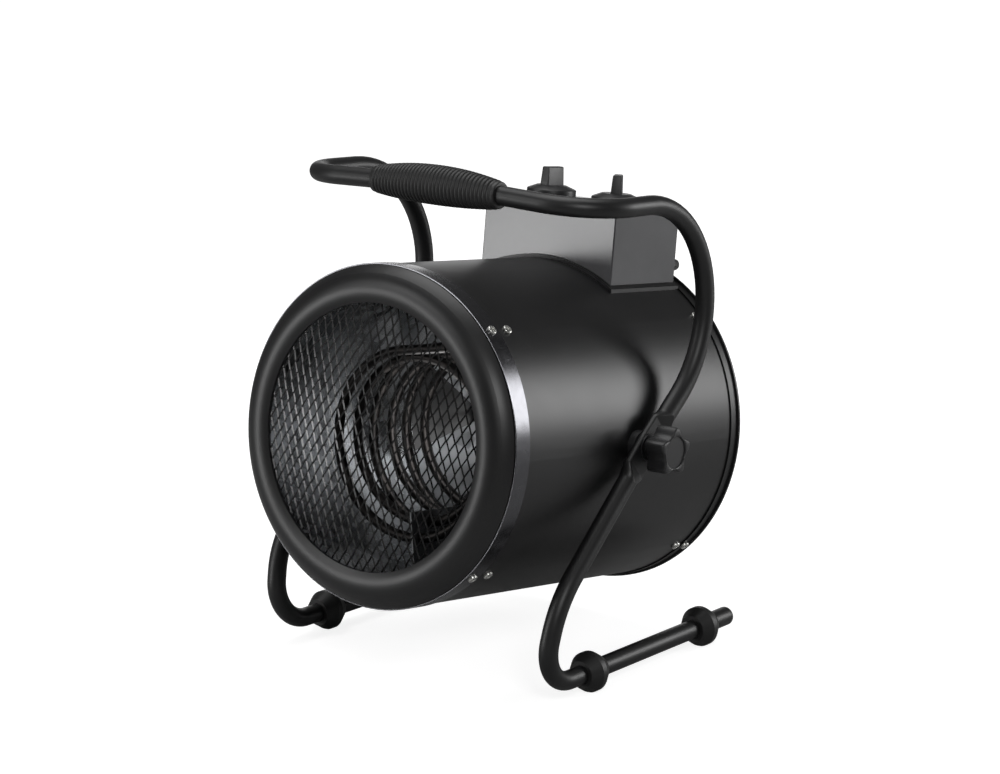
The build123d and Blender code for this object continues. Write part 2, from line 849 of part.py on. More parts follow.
with BuildPart() as cable_gland:
    gland_start = box_rear + seat / 2
    with BuildSketch(cross(gland_start)):
        with Locations((gland_x, gland_z)):
            RegularPolygon(gland_r, 6)
    extrude(amount=-gland_hex)
    with BuildSketch(cross(gland_start + gland_hex)):
        with Locations((gland_x, gland_z)):
            Circle(gland_dome_r)
    extrude(amount=-gland_dome, taper=gland_draft)
    with BuildSketch(cross(gland_start)):
        with Locations((gland_x, gland_z)):
            Circle(gland_thread)
    extrude(amount=box_wall + gland_tail)
    with BuildSketch(cross(gland_start - box_wall - gland_tail - past)):
        with Locations((gland_x, gland_z)):
            Circle(gland_bore)
    extrude(amount=-box_wall - gland_tail - gland_hex - gland_dome - 2 * past, mode=Mode.SUBTRACT)
finish([cable_gland.part], "cable_gland")

with BuildPart() as gland_nut:
    with BuildSketch(cross(box_rear - box_wall - seat / 2)):
        with Locations((gland_x, gland_z)):
            RegularPolygon(gland_r, 6)
            Circle(gland_thread + clear, mode=Mode.SUBTRACT)
    extrude(amount=gland_nut_len)
finish([gland_nut.part], "gland_nut")

with BuildPart() as terminal_block:
    block_y = box_front + saddle_in + block_d / 2 + block_back
    with BuildSketch(Plane.XY.offset(casing_r + seat)):
        with Locations((0, block_y)):
            Rectangle(block_w, block_d)
    extrude(amount=block_h)
    with BuildSketch(Plane.XY.offset(casing_r + seat + block_h)):
        with Locations((0, block_y)):
            with GridLocations(block_w / block_screw_count, block_d, block_screw_count, 1):
                Circle(block_screw)
    extrude(amount=-block_screw_deep, mode=Mode.SUBTRACT)
finish([terminal_block.part], "terminal_block")

# ---------------------------------------------------------------- pivots
knee_x = casing_r + side_room
spacer_outer = knee_x - flat_thick / 2 - seat
washer_in = knee_x + flat_thick / 2 + seat / 2
star_base = washer_in + washer_thick + seat / 2
stud_bore = stud_r + clear


def pivot_plane(x):
    """Plane across the pivot axis on the right side at this X, facing outward."""
    return Plane(origin=(x, pivot_y, pivot_z), x_dir=(0, 1, 0), z_dir=(1, 0, 0))


def pair(part, name):
    """The right piece and its mirror image, as one group."""
    finish([part, part.mirror(Plane.YZ)], name)


with BuildPart() as spacer:
    with BuildSketch(pivot_plane(casing_inner - past)):
        Circle(spacer_r)
        Circle(stud_bore, mode=Mode.SUBTRACT)
    extrude(amount=spacer_outer - casing_inner + past)
    with BuildSketch(cross(pivot_y - spacer_r - past)):
        Circle(casing_r + seat / 2)
    extrude(amount=-2 * (spacer_r + past), mode=Mode.SUBTRACT)
pair(spacer.part, "pivot_spacers")

with BuildPart() as pivot_nut:
    with BuildSketch(pivot_plane(casing_inner - nut_room - seat)):
        RegularPolygon(nut_r, 6)
        Circle(stud_bore, mode=Mode.SUBTRACT)
    extrude(amount=-nut_len)
pair(pivot_nut.part, "pivot_nuts")

with BuildPart() as washer:
    with BuildSketch(pivot_plane(washer_in)):
        Circle(washer_r)
        Circle(stud_bore, mode=Mode.SUBTRACT)
    extrude(amount=washer_thick)
pair(washer.part, "pivot_washers")

with BuildPart() as star:
    with BuildSketch(pivot_plane(star_base)):
        Circle(star_neck_r)
    extrude(amount=star_neck)
    with BuildSketch(pivot_plane(star_base + star_neck)):
        Circle(star_core_r)
        with PolarLocations(star_r - star_lobe_r, star_lobe_count, start_angle=star_first):
            Circle(star_lobe_r)
    extrude(amount=star_height - star_neck)
    with BuildSketch(pivot_plane(star_base + star_height)):
        Circle(star_cap_r)
    extrude(amount=-star_cap_sink - star_cap_thick, mode=Mode.SUBTRACT)
    with BuildSketch(pivot_plane(star_base - past)):
        Circle(stud_bore)
    extrude(amount=star_height - star_top + past, mode=Mode.SUBTRACT)

with BuildPart() as star_cap:
    with BuildSketch(pivot_plane(star_base + star_height - star_cap_sink - star_cap_thick + seat)):
        Circle(star_cap_r - clear)
    extrude(amount=star_cap_thick - seat)

with BuildPart() as stud:
    stud_in = casing_inner - nut_room - seat - nut_len
    with BuildSketch(pivot_plane(stud_in)):
        Circle(stud_r)
    extrude(amount=star_base + star_height - star_top - past - stud_in)

for side, turned in (("right", False), ("left", True)):
    for piece, name in ((star, "clamp_knob"), (star_cap, "clamp_cap"), (stud, "clamp_stud")):
        made = piece.part.mirror(Plane.YZ) if turned else piece.part
        finish([made], f"{name}_{side}")

heater_pieces = list(pieces)

# ---------------------------------------------------------------- stand, drawn from its pivot
def stand_point(x, y, rise):
    """A point of the right half of the stand, measured from the pivot."""
    return Vector(x, y, rise - pivot_rise)


handle_x = knee_x + handle_out
handle_rise = pivot_rise + box_top + handle_room
foot_end = stand_point(knee_x - foot_in_rear, foot_rear, 0)
toe = stand_point(knee_x - foot_in_front, foot_front, 0)
knee = stand_point(knee_x, knee_y, knee_rise)
pivot = Vector(knee_x, 0, 0)
elbow = Vector(knee_x, elbow_y, elbow_rise)
corner = stand_point(handle_x, handle_y, handle_rise)
middle = stand_point(0, handle_y, handle_rise + handle_arch)
flat_dir = ((pivot - knee).normalized() + (elbow - pivot).normalized()).normalized()
flat_end = flat_half + flat_blend
slope = Plane(origin=pivot, x_dir=flat_dir, z_dir=(1, 0, 0))
half_w = flat_w / 2
half_t = flat_thick / 2


def mirrored(point):
    """The same point of the left half."""
    return Vector(-point.X, point.Y, point.Z)


right_side = [foot_end, toe, knee, pivot, elbow, corner]
left_side = [mirrored(point) for point in reversed(right_side)]
bends = [foot_bend, knee_bend, pivot_bend, elbow_bend, handle_bend]

with BuildPart() as flattened:
    with BuildSketch(slope.offset(-half_t)):
        with BuildLine():
            Polyline(
                (-flat_end, flat_end_w),
                (-flat_half, half_w),
                (flat_half, half_w),
                (flat_end, flat_end_w),
                (flat_end, -flat_end_w),
                (flat_half, -half_w),
                (-flat_half, -half_w),
                (-flat_end, -flat_end_w),
                close=True,
            )
        make_face()
    extrude(amount=flat_thick)
    rims = [e for e in flattened.edges() if abs((e % 0.5).dot(flat_dir)) > 0.5]
    fillet(rims, flat_round)

with BuildPart() as press:
    with BuildSketch(Plane(origin=pivot, x_dir=flat_dir, z_dir=flat_dir.cross(Vector(1, 0, 0)))):
        for side in (-1, 1):
            with BuildLine():
                Polyline(
                    (-flat_end, side * stand_r),
                    (-flat_half, side * half_t),
                    (flat_half, side * half_t),
                    (flat_end, side * stand_r),
                    (flat_end, side * 2 * stand_r),
                    (-flat_end, side * 2 * stand_r),
                    close=True,
                )
            make_face()
    extrude(amount=2 * stand_r, both=True)

with BuildPart() as stand_tube:
    with BuildLine() as route:
        FilletPolyline(*right_side, middle, *left_side, radius=bends + [arch_bend] + bends[::-1])
    with BuildSketch(Plane(origin=foot_end, z_dir=route.line % 0)):
        Circle(stand_r)
    sweep()
    add([press.part, press.part.mirror(Plane.YZ)], mode=Mode.SUBTRACT)
    add([flattened.part, flattened.part.mirror(Plane.YZ)])
    for side in (-1, 1):
        with BuildSketch(Plane(origin=(side * (knee_x - flat_w), 0, 0), z_dir=(side, 0, 0))):
            Circle(stud_bore)
        extrude(amount=2 * flat_w, mode=Mode.SUBTRACT)
    for end, way in ((route.line @ 0, route.line % 0), (route.line @ 1, (route.line % 1) * -1)):
        with BuildSketch(Plane(origin=end, z_dir=way)):
            Circle(plug_r + clear)
        extrude(amount=plug_len + seat, mode=Mode.SUBTRACT)
finish([stand_tube.part], "stand_tube")

foot_dir = (foot_end - toe).normalized()
foot_plane = Plane(origin=foot_end, z_dir=foot_dir)
with BuildPart() as cap:
    with BuildSketch(foot_plane.offset(seat / 2)):
        Circle(stand_r)
    extrude(amount=cap_len - seat / 2)
    fillet(cap.edges().group_by(Axis.Y)[-1], cap_round)
    with BuildSketch(foot_plane.offset(-plug_len)):
        Circle(plug_r)
    extrude(amount=plug_len + seat)
finish([cap.part, cap.part.mirror(Plane.YZ)], "tube_end_caps")

collars = []
for y in (collar_front_y, collar_rear_y):
    share = (foot_rear - y) / (foot_rear - foot_front)
    centre = foot_end + (toe - foot_end) * share
    with BuildPart() as collar:
        with BuildSketch(Plane(origin=centre, x_dir=foot_dir, z_dir=(0, 0, -1))):
            with BuildLine():
                Polyline(
                    (-collar_len / 2, stand_r + clear),
                    (-collar_len / 2, collar_end_r),
                    (-collar_band / 2, collar_r),
                    (collar_band / 2, collar_r),
                    (collar_len / 2, collar_end_r),
                    (collar_len / 2, stand_r + clear),
                    close=True,
                )
            make_face()
        revolve(axis=Axis(centre, foot_dir))
        with BuildSketch(Plane.XY.offset(-pivot_rise - collar_r + collar_flat)):
            with Locations((centre.X, centre.Y)):
                Rectangle(4 * collar_r, 2 * collar_len)
        extrude(amount=-2 * collar_flat, mode=Mode.SUBTRACT)
    collars.append(collar.part)
    collars.append(collar.part.mirror(Plane.YZ))
finish(collars, "foot_collars")

arch = atan2(handle_arch, handle_x)
with BuildPart() as bar:
    with BuildLine():
        FilletPolyline(corner, middle, mirrored(corner), radius=arch_bend)
    with BuildSketch(Plane(origin=corner, z_dir=middle - corner)):
        Circle(stand_r + clear)
    sweep()

with BuildPart() as handle_grip:
    span = grip_half - grip_cuff
    pitch = 2 * span / rib_count
    grip_middle = middle - Vector(0, 0, arch_bend * (1 / cos(arch) - 1))
    outline = [(-grip_half, 0), (-grip_half, grip_end_r), (-span, grip_end_r)]
    for i in range(rib_count):
        for share, lift in ((rib_foot, 0), (rib_near, rib_rise), (rib_far, rib_rise)):
            x = -span + (i + share) * pitch
            barrel = grip_end_r + (grip_mid_r - grip_end_r) * cos(pi / 2 * x / span)
            outline.append((x, barrel + lift))
    outline += [(span, grip_end_r), (grip_half, grip_end_r), (grip_half, 0)]
    with BuildSketch(Plane(origin=grip_middle, x_dir=(1, 0, 0), z_dir=(0, -1, 0))):
        with BuildLine():
            Polyline(*outline, close=True)
        make_face()
    revolve(axis=Axis(grip_middle, (1, 0, 0)))
    add(bar.part, mode=Mode.SUBTRACT)
finish([handle_grip.part], "handle_grip")

# ---------------------------------------------------------------- placing and writing
to_pivot = Location((0, 0, 0), (tilt, 0, 0)) * Location((0, -pivot_y, -pivot_z))
for name in heater_pieces:
    pieces[name] = [solid.moved(to_pivot) for solid in pieces[name]]
boxes = [solid.bounding_box() for group in pieces.values() for solid in group]
front_most = min(box.min.Y for box in boxes)
rear_most = max(box.max.Y for box in boxes)
pivot_place = (0, -(front_most + rear_most) / 2, pivot_rise + collar_r - collar_flat)
for name, group in pieces.items():
    placed = [solid.moved(Location(pivot_place)) for solid in group]
    piece = placed[0] if len(placed) == 1 else Compound(children=placed)
    piece.label = name
    export_step(piece, f"parts/{name}.step")
print("pivot", [round(value, 3) for value in pivot_place])
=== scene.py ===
"""Looks of the forced air heater: a black drum fan heater that tilts in a bent tube stand.

Lengths are written in millimetres in the drum's own frame (Y along its axis, y = 0 at the front
edge of the band, -Y the outlet) or in the stand's frame (from the pivot), and turned to metres
in the shared frame where a piece is made.
"""
import json
from math import atan2, cos, pi, radians, sin, tan

import bpy
import numpy as np
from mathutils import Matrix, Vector


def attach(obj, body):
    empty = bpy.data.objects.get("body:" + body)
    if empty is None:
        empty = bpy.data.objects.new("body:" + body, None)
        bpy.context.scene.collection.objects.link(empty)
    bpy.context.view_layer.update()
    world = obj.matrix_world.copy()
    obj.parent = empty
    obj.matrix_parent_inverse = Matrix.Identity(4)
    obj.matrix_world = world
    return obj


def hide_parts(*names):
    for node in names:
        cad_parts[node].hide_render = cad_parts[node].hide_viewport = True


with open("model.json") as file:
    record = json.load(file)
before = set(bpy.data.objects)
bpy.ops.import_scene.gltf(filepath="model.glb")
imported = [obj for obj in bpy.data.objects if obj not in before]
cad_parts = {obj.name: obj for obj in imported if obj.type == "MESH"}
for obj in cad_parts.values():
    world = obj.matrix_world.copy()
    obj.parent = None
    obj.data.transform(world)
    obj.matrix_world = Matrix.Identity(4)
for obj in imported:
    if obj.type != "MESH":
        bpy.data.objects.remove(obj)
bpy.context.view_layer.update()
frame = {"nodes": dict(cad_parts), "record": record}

MM = 0.001
TILT = radians(7.1875)  # the outlet points up by this much
PIVOT_DEPTH, PIVOT_UP = 166.3, 3.0  # pivot in the drum's frame
PIVOT = np.array([0.0, 13.439, 192.75])  # pivot in the shared frame

# ------------------------------------------------------------------ camera and studio
# where the camera stood: worked out from the drum's circles and the stand's mirror symmetry
CAMERA_AT = (1.7961, -2.27164, 0.9028)
CAMERA_WAY = (-0.6023, 0.7650, -0.2282)

camera_data = bpy.data.cameras.new("camera")
camera_data.sensor_width = 36.0
camera_data.lens = 128.2
camera_data.clip_start, camera_data.clip_end = 0.05, 50.0
camera = bpy.data.objects.new("camera", camera_data)
camera.location = CAMERA_AT
camera.rotation_mode = "QUATERNION"
camera.rotation_quaternion = Vector(CAMERA_WAY).to_track_quat("-Z", "Y")
bpy.context.scene.collection.objects.link(camera)
bpy.context.scene.camera = camera
bpy.context.scene.view_settings.view_transform = "Standard"


def softbox(name, at, towards, width, height, watts):
    """A rectangular soft light at a point, facing another point, that the camera doesn't see."""
    light = bpy.data.lights.new(name, "AREA")
    light.shape = "RECTANGLE"
    light.size, light.size_y = width, height
    light.energy = watts
    holder = bpy.data.objects.new(name, light)
    holder.location = at
    holder.rotation_mode = "QUATERNION"
    holder.rotation_quaternion = (Vector(towards) - Vector(at)).to_track_quat("-Z", "Y")
    holder.visible_camera = False
    bpy.context.scene.collection.objects.link(holder)


# soft light from above and from the front left, for the whole object
softbox("light_overhead", (-0.3, 0.1, 1.9), (0, 0, 0.2), 1.4, 1.4, 18)
softbox("light_key_front_left", (-1.3, -2.1, 1.5), (0, 0, 0.2), 1.0, 1.0, 12)
# the soft grey patch on the front of the control box mirrors this one
softbox("light_front_left_low", (-1.33, -1.72, 0.27), (0, 0, 0.3), 0.55, 0.55, 9)
# one family of the mesh's strands mirrors this one, as short bright strokes
softbox("light_front_right", (1.35, -1.2, 1.15), (-0.08, -0.16, 0.2), 0.45, 0.45, 10)
# the long highlight on the casing's side and on the band
softbox("light_back_right", (1.3, 1.6, 0.6), (0.1, 0.05, 0.2), 0.7, 0.8, 16)
# a faint edge of light down the far side
softbox("light_back_left", (-1.3, 1.7, 0.5), (0, 0, 0.25), 1.2, 0.5, 3)
# what comes in through the outlet, set inside the coils so that it doesn't light the mesh
OUTLET_LIGHT_AT = (0, -0.092, 0.203)
softbox("light_into_drum_back", OUTLET_LIGHT_AT, (0, 0.4, 0.141), 0.06, 0.06, 0.2)
softbox("light_into_drum_up", OUTLET_LIGHT_AT, (0.02, 0.12, 0.4), 0.06, 0.06, 0.14)


# ------------------------------------------------------------------ materials
def linear(code):
    """sRGB hex to linear RGBA: c / 12.92 up to 0.04045, above it ((c + 0.055) / 1.055) ** 2.4."""
    c = np.array([int(code[i:i + 2], 16) for i in (1, 3, 5)]) / 255
    rgb = np.where(c <= 0.04045, c / 12.92, ((c + 0.055) / 1.055) ** 2.4)
    return (*rgb.tolist(), 1.0)


def add(tree, kind, settings=None, values=None, links=None):
    """Adds one node, sets its properties and its sockets' values, and links its inputs."""
    node = tree.nodes.new(kind)
    for key, value in (settings or {}).items():
        setattr(node, key, value)
    for socket, value in (values or {}).items():
        node.inputs[socket].default_value = value
    for socket, (source, output) in (links or {}).items():
        tree.links.new(source.outputs[output], node.inputs[socket])
    return node


def finish_named(name):
    """An empty material and its node tree."""
    material = bpy.data.materials.new(name)
    material.use_nodes = True
    material.node_tree.nodes.clear()
    return material, material.node_tree


HANDLING_PER_METRE = 14.0  # dust and handling come in patches about 70 mm across
FLOW_PER_METRE = 60.0  # flow marks in a moulding are about 17 mm apart
COATING_IOR = 1.5  # polyester powder coat, nylon, rubber and glaze are all close to this


def powder_coat(name, shade, worn_shade, roughness, peel_mm, peel_height_mm):
    """Baked powder coat on steel: melted powder levels to an even satin film with orange peel.

    The eye gets soft broad highlights that shimmer a little, and a slightly duller film where
    dust and hands have been. Peel is 1 to 3 mm wide, as real. Its height, a few microns on the
    real film, is drawn at 0.03 to 0.05 mm so that it shows.
    """
    material, tree = finish_named(name)
    place = add(tree, "ShaderNodeTexCoord")
    peel = add(tree, "ShaderNodeTexNoise",
               values={"Scale": 1000 / peel_mm, "Detail": 2.0},
               links={"Vector": (place, "Object")})
    handling = add(tree, "ShaderNodeTexNoise",
                   values={"Scale": HANDLING_PER_METRE, "Detail": 4.0, "Roughness": 0.6},
                   links={"Vector": (place, "Object")})
    dust = add(tree, "ShaderNodeMapRange",
               values={"From Min": 0.35, "From Max": 0.75, "To Min": 0.0, "To Max": 1.0},
               links={"Value": (handling, "Fac")})
    colour = add(tree, "ShaderNodeMix", settings={"data_type": "RGBA"},
                 values={6: linear(shade), 7: linear(worn_shade)}, links={0: (dust, "Result")})
    gloss = add(tree, "ShaderNodeMapRange",
                values={"To Min": roughness - 0.03, "To Max": roughness + 0.05},
                links={"Value": (handling, "Fac")})
    bump = add(tree, "ShaderNodeBump",
               values={"Strength": 0.25, "Distance": peel_height_mm * MM},
               links={"Height": (peel, "Fac")})
    paint = add(tree, "ShaderNodeBsdfPrincipled", values={"IOR": COATING_IOR},
                links={"Base Color": (colour, 2), "Roughness": (gloss, "Result"),
                       "Normal": (bump, "Normal")})
    add(tree, "ShaderNodeOutputMaterial", links={"Surface": (paint, "BSDF")})
    return material


# steel tube, satin black: a soft line of light runs along each bend
tube_coat = powder_coat("satin_black_powder_coat_on_tube", "#0c0c0d", "#121213", 0.43, 1.6, 0.05)
# rolled and pressed sheet, satin black: broad highlights along the drum and round its ring
drum_coat = powder_coat("satin_black_powder_coat_on_drum", "#0a0a0b", "#101011", 0.39, 2.2, 0.05)
# expanded metal, dipped: glossier, so that the strands' faces flash where they mirror a light
grille_coat = powder_coat(
    "dipped_black_coat_on_expanded_metal", "#0d0d0d", "#161616", 0.24, 1.2, 0.03)
# folded sheet, dark grey and smooth: its front mirrors the room as a soft lighter patch
box_coat = powder_coat("grey_powder_coat_on_box", "#505052", "#58585a", 0.2, 1.8, 0.05)
# motor shell, sprayed lacquer: plain black with a dull shine
motor_coat = powder_coat("black_lacquer_on_motor", "#141414", "#1c1c1c", 0.4, 2.0, 0.04)


def moulded(name, shade, roughness, grain_mm, grain_height_mm):
    """Moulded plastic, rubber or ceramic: the mould's fine grain gives an even dull sheen.

    The colour and the shine change a little along the way the material flowed in the mould.
    """
    material, tree = finish_named(name)
    place = add(tree, "ShaderNodeTexCoord")
    grain = add(tree, "ShaderNodeTexNoise",
                values={"Scale": 1000 / grain_mm, "Detail": 3.0, "Roughness": 0.7},
                links={"Vector": (place, "Object")})
    flow = add(tree, "ShaderNodeTexNoise",
               values={"Scale": FLOW_PER_METRE, "Detail": 2.0},
               links={"Vector": (place, "Object")})
    base = linear(shade)
    lighter = tuple(1.35 * c for c in base[:3]) + (1.0,)
    colour = add(tree, "ShaderNodeMix", settings={"data_type": "RGBA"},
                 values={6: base, 7: lighter}, links={0: (flow, "Fac")})
    gloss = add(tree, "ShaderNodeMapRange",
                values={"To Min": roughness - 0.06, "To Max": roughness + 0.06},
                links={"Value": (flow, "Fac")})
    bump = add(tree, "ShaderNodeBump",
               values={"Strength": 0.3, "Distance": grain_height_mm * MM},
               links={"Height": (grain, "Fac")})
    body = add(tree, "ShaderNodeBsdfPrincipled", values={"IOR": COATING_IOR},
               links={"Base Color": (colour, 2), "Roughness": (gloss, "Result"),
                      "Normal": (bump, "Normal")})
    add(tree, "ShaderNodeOutputMaterial", links={"Surface": (body, "BSDF")})
    return material


# glass filled nylon: knobs take hand grease, so they are a little shinier than rubber
knob_plastic = moulded("black_moulded_nylon", "#1a1a1b", 0.42, 0.7, 0.03)
# moulded rubber of the grip, collars and caps: the dullest black on the object
grip_rubber = moulded("black_moulded_rubber", "#161616", 0.5, 0.9, 0.04)
# pressed and fired steatite of the switches' bodies: warm white, slightly glazed
ceramic = moulded("off_white_moulded_ceramic", "#dcd7c8", 0.35, 1.0, 0.02)


def bare_metal(name, shade, dark_shade, roughness, patch_mm, patch_kind="ShaderNodeTexVoronoi"):
    """Bare or plated metal: crystals or wear patches a few millimetres wide differ in shine."""
    material, tree = finish_named(name)
    place = add(tree, "ShaderNodeTexCoord")
    output = "Color" if patch_kind == "ShaderNodeTexVoronoi" else "Fac"
    patches = add(tree, patch_kind, values={"Scale": 1000 / patch_mm},
                  links={"Vector": (place, "Object")})
    tone = add(tree, "ShaderNodeSeparateColor", links={"Color": (patches, output)})
    colour = add(tree, "ShaderNodeMix", settings={"data_type": "RGBA"},
                 values={6: linear(dark_shade), 7: linear(shade)}, links={0: (tone, "Red")})
    gloss = add(tree, "ShaderNodeMapRange",
                values={"To Min": roughness - 0.08, "To Max": roughness + 0.08},
                links={"Value": (tone, "Red")})
    metal = add(tree, "ShaderNodeBsdfPrincipled", values={"Metallic": 1.0},
                links={"Base Color": (colour, 2), "Roughness": (gloss, "Result")})
    add(tree, "ShaderNodeOutputMaterial", links={"Surface": (metal, "BSDF")})
    return material


# hot dip galvanised sheet: zinc crystals (spangle) 6 to 10 mm wide in slightly different greys
galvanised = bare_metal("galvanised_sheet_with_spangle", "#9c9ea0", "#8f9193", 0.24, 8.0)
# electroplated zinc on screws: bright, faintly mottled
zinc = bare_metal("bright_zinc_plating", "#dcdcd8", "#c4c4bf", 0.3, 1.5)
# stainless heating tube that has been red hot: dark brown black oxide in patches
oxide = bare_metal("heat_darkened_stainless_tube", "#2a2827", "#191818", 0.42, 9.0)
# pressed aluminium fan blades: mill finish, satin
aluminium = bare_metal("mill_finish_aluminium", "#bcbdbf", "#a7a8aa", 0.36, 14.0)
# strip next to the tubes: a darker, duller mid grey than the galvanised sheet, as painted shade
# that damps the light the lamp inside the coils throws on it
strip_with_painted_shade = bare_metal("galvanised_strip_darkened_as_painted_shade", "#5c5d5e", "#4d4e4f", 0.5, 9.0)
# stainless band, buffed to a dark mirror that is clouded in soft patches 6 mm wide
band_steel = bare_metal(
    "buffed_dark_stainless_band", "#626265", "#58585b", 0.24, 6.0, "ShaderNodeTexNoise")

finishes = {
    "polished_band": band_steel,
    "satin_black_tube": tube_coat,
    "satin_black_sheet": drum_coat,
    "grey_sheet": box_coat,
    "black_mesh": grille_coat,
    "galvanised": galvanised,
    "zinc": zinc,
    "element": oxide,
    "black_plastic": knob_plastic,
    "black_rubber": grip_rubber,
    "fan_metal": aluminium,
    "white_ceramic": ceramic,
    "motor_black": motor_coat,
}
# the one node that gets a darker finish than the rest of its slot, as painted shade
own_finish = {"element_rib": strip_with_painted_shade}
for part in frame["record"]["subparts"]:
    finish = own_finish.get(part["node"], finishes[part["material_slot"]])
    slots_of_node = frame["nodes"][part["node"]].data.materials
    slots_of_node.clear()
    slots_of_node.append(finish)


# ------------------------------------------------------------------ surfaces
def drum_to_shared(points):
    """Drum frame to shared frame: turn by the tilt about X, then move the pivot to its place."""
    y = points[:, 1] - PIVOT_DEPTH
    z = points[:, 2] - PIVOT_UP
    return np.stack([
        points[:, 0],
        PIVOT[1] + cos(TILT) * y + sin(TILT) * z,
        PIVOT[2] - sin(TILT) * y + cos(TILT) * z,
    ], 1)


def stand_to_shared(points):
    """Stand frame, measured from the pivot, to shared frame."""
    return points + PIVOT


def quads(rows, cols, wrap_rows=False):
    """Corner numbers of the quads of a grid of rings: point (r, c) is number r * cols + c. Each
    ring is closed on itself, and with wrap_rows the last ring is joined to the first."""
    r = np.arange(rows if wrap_rows else rows - 1)[:, None]
    c = np.arange(cols)[None, :]
    r2, c2 = (r + 1) % rows, (c + 1) % cols
    corners = [r * cols + c, r * cols + c2, r2 * cols + c2, r2 * cols + c]
    return np.stack(corners, -1).reshape(-1, 4)


def closed_ends(grid, first=None, last=None):
    """Points and faces of a grid of rings (rows, around, 3), whose first and last rings are
    closed by fans of triangles. first and last are the fans' middle points, by default the
    ring's mean."""
    rows, cols = grid.shape[:2]
    first = grid[0].mean(0) if first is None else first
    last = grid[-1].mean(0) if last is None else last
    points = np.concatenate([grid.reshape(-1, 3), [first, last]])
    k = np.arange(cols)
    k2 = (k + 1) % cols
    low = np.stack([k2, k, np.full(cols, rows * cols)], 1)
    top = (rows - 1) * cols
    high = np.stack([top + k, top + k2, np.full(cols, rows * cols + 1)], 1)
    return points, [quads(rows, cols), low, high]


def filleted(corners, radii, steps):
    """A line through corners whose inner corners are arcs: the centre lies on the bisector at
    r / sin(half angle), and the arc turns from one tangent point to the other. A corner of
    radius 0 stays sharp."""
    corners = np.asarray(corners, float)
    run = []
    for i in range(len(corners)):
        if i in (0, len(corners) - 1) or radii[i] == 0:
            run.append(corners[i:i + 1])
            continue
        before = corners[i - 1] - corners[i]
        after = corners[i + 1] - corners[i]
        before, after = before / np.linalg.norm(before), after / np.linalg.norm(after)
        half = np.arccos(np.clip(before @ after, -1, 1)) / 2
        bisector = (before + after) / np.linalg.norm(before + after)
        centre = corners[i] + bisector * radii[i] / sin(half)
        start = corners[i] + before * radii[i] / np.tan(half) - centre
        end = corners[i] + after * radii[i] / np.tan(half) - centre
        angle = pi - 2 * half
        side = (end - start * cos(angle)) / sin(angle)
        t = np.linspace(0, angle, steps + 1)[:, None]
        run.append(centre + start * np.cos(t) + side * np.sin(t))
    return np.concatenate(run)


def turned(profile, around, poles=False):
    """Surface of revolution about z: a profile point (r, h) goes to (r cos t, r sin t, h).

    The profile runs upward on its outer side. It is closed on itself, or with poles it goes from
    the axis to the axis and ends in two fans.
    """
    profile = np.asarray(profile, float)
    t = np.arange(around) * 2 * pi / around
    body = profile[1:-1] if poles else profile
    grid = np.stack([
        body[:, :1] * np.cos(t),
        body[:, :1] * np.sin(t),
        np.repeat(body[:, 1:], around, 1),
    ], -1)
    if poles:
        return closed_ends(grid, (0, 0, profile[0, 1]), (0, 0, profile[-1, 1]))
    return grid.reshape(-1, 3), [quads(len(body), around, wrap_rows=True)]


def placed(shape, origin, x_way, z_way):
    """A shape moved so that its z axis lies along z_way and its x axis along x_way."""
    x_way, z_way = np.asarray(x_way, float), np.asarray(z_way, float)
    axes = np.stack([x_way, np.cross(z_way, x_way), z_way])
    return shape[0] @ axes + np.asarray(origin, float), shape[1]


def made(name, shapes, to_shared, body, slot, stands_for, sharp):
    """One piece of the object from several shapes, each (points, faces): joined, turned to
    metres in the shared frame, smooth but for edges past sharp degrees, and given its finish.
    It rides on a body and stands for the CAD nodes named."""
    points = to_shared(np.concatenate([shape[0] for shape in shapes])) * MM
    faces, start = [], 0
    for shape in shapes:
        faces += [f + start for f in shape[1]]
        start += len(shape[0])
    mesh = bpy.data.meshes.new(name)
    mesh.vertices.add(len(points))
    mesh.vertices.foreach_set("co", points.astype(np.float32).ravel())
    corners = np.concatenate([f.ravel() for f in faces]).astype(np.int32)
    sides = np.concatenate([np.full(len(f), f.shape[1]) for f in faces])
    mesh.loops.add(len(corners))
    mesh.loops.foreach_set("vertex_index", corners)
    mesh.polygons.add(len(sides))
    mesh.polygons.foreach_set("loop_start", (np.cumsum(sides) - sides).astype(np.int32))
    mesh.update(calc_edges=True)
    mesh.validate()
    mesh.polygons.foreach_set("use_smooth", np.ones(len(sides), bool))
    mesh.set_sharp_from_angle(angle=radians(sharp))
    mesh.materials.append(finishes[slot])
    piece = bpy.data.objects.new(name, mesh)
    bpy.context.scene.collection.objects.link(piece)
    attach(piece, body)
    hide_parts(*stands_for)


